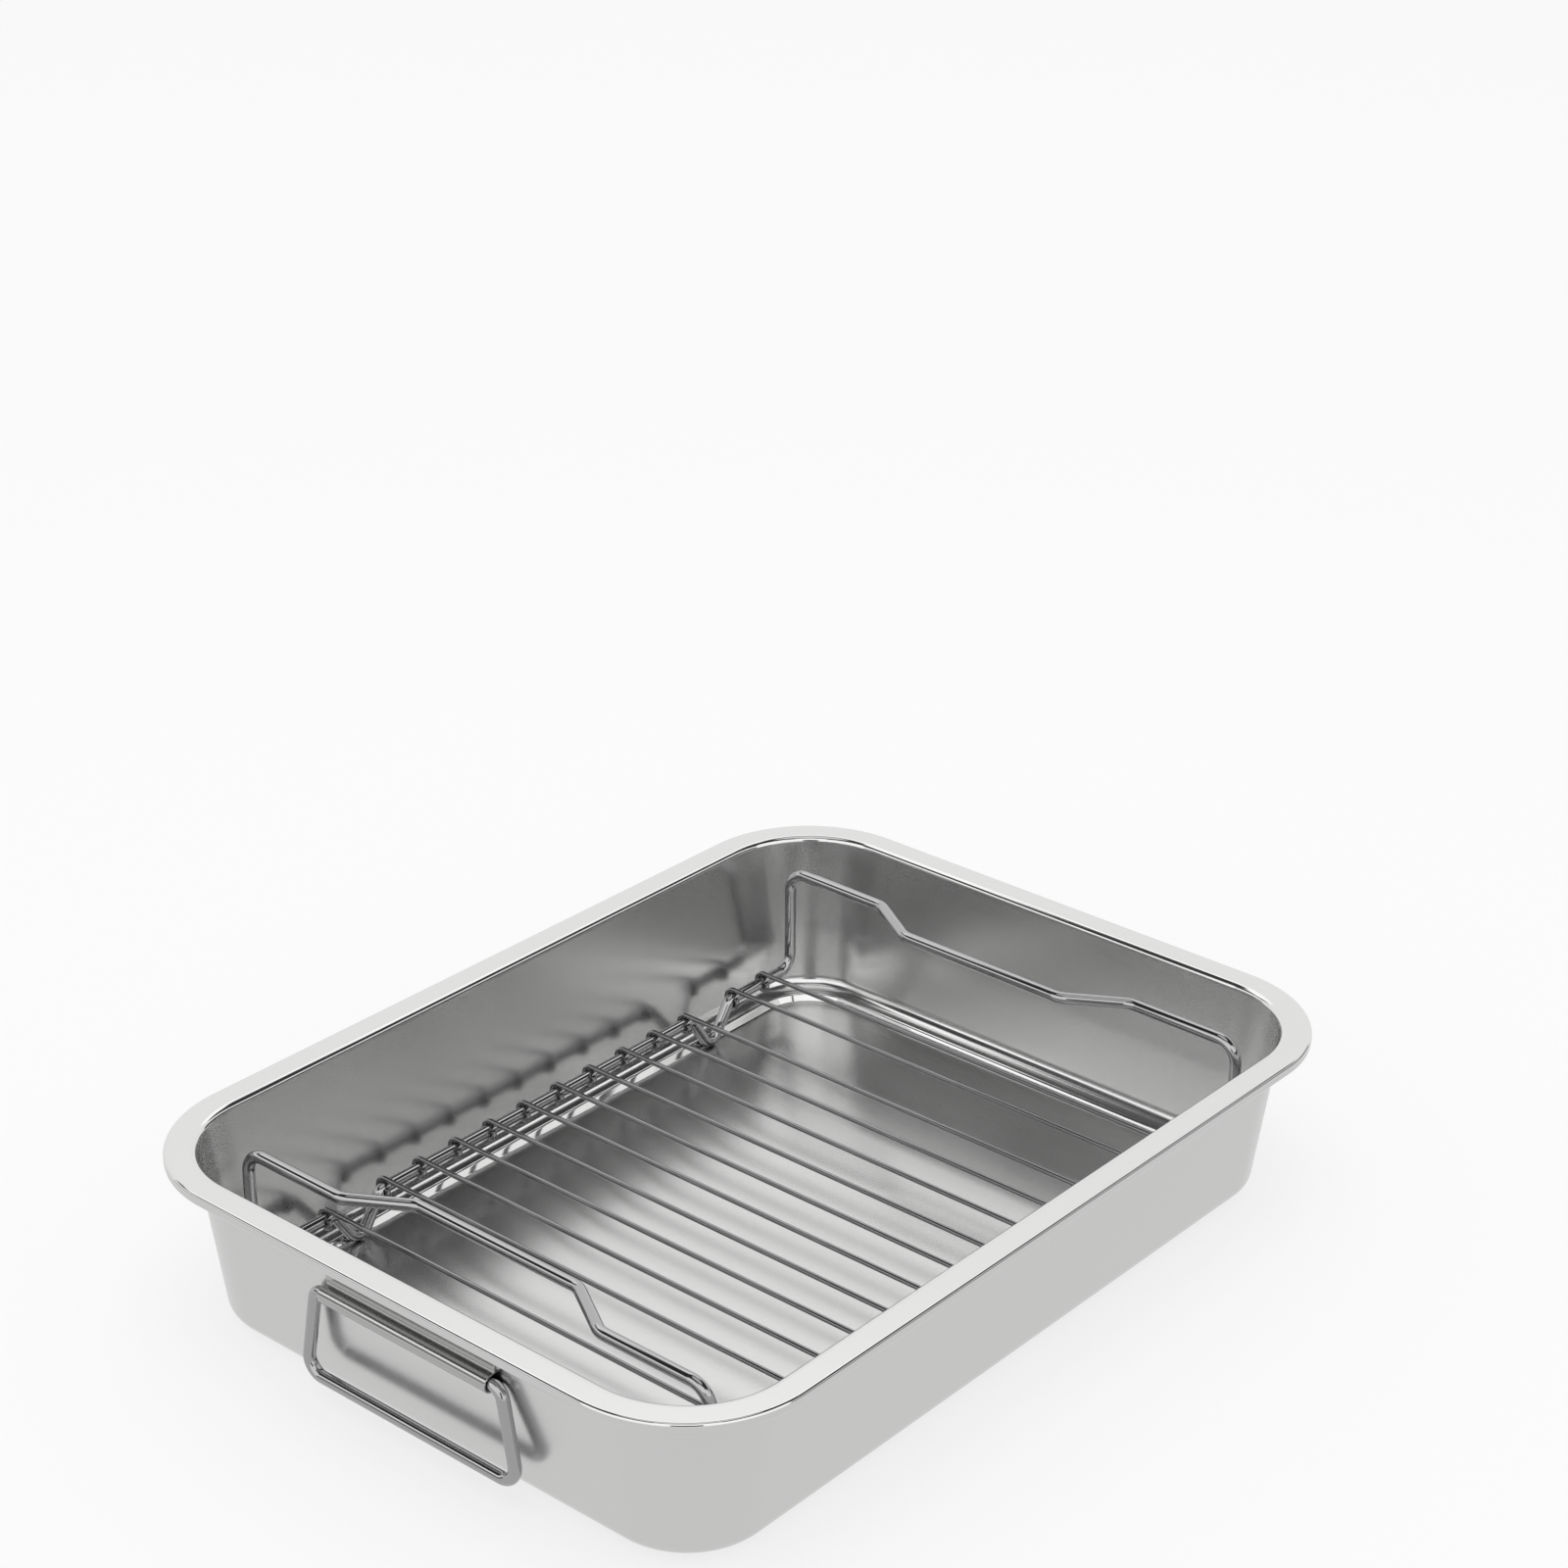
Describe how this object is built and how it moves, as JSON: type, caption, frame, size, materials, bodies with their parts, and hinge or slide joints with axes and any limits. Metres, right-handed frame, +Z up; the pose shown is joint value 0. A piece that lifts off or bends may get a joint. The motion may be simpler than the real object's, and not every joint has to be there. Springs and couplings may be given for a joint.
{
  "type": "roasting pan with rack",
  "caption": "Rectangular sheet-steel roasting pan with rolled rim and hanging bail handles, holding a lift-out wire rack with raised handles.",
  "frame": {"origin": "under the middle of the pan's base, on the surface that it stands on", "axes": "+Z up out of the pan, +X along its long side, +Y across it"},
  "size_m": [0.4, 0.301, 0.074],
  "materials": {
    "pan_steel": "satin",
    "bracket_steel": "polished",
    "bright_wire": "polished"
  },
  "bodies": {
    "roasting_pan": {"pan": "pan_steel", "bracket_left": "bracket_steel", "bracket_right": "bracket_steel"},
    "left_bail": {"bail_left": "bright_wire"},
    "right_bail": {"bail_right": "bright_wire"},
    "rack": {"rack_frame": "bright_wire", "rack_rod_1": "bright_wire", "rack_rod_2": "bright_wire", "rack_rod_3": "bright_wire", "rack_rod_4": "bright_wire", "rack_rod_5": "bright_wire", "rack_rod_6": "bright_wire", "rack_rod_7": "bright_wire", "rack_rod_8": "bright_wire", "rack_rod_9": "bright_wire", "rack_rod_10": "bright_wire", "rack_rod_11": "bright_wire", "rack_rod_12": "bright_wire", "rack_rod_13": "bright_wire", "rack_rod_14": "bright_wire"}
  },
  "joints": [
    {"name": "left_bail_swing", "type": "hinge", "parent": "roasting_pan", "child": "left_bail", "pos_m": [-0.18824, 0, 0.05], "axis": [0, 1, 0], "range_deg": [-7, 142]},
    {"name": "right_bail_swing", "type": "hinge", "parent": "roasting_pan", "child": "right_bail", "pos_m": [0.18824, 0, 0.05], "axis": [0, -1, 0], "range_deg": [-7, 142]},
    {"name": "rack_lift", "type": "slide", "parent": "roasting_pan", "child": "rack", "axis": [0, 0, 1], "range_m": [0, 0.28]}
  ]
}
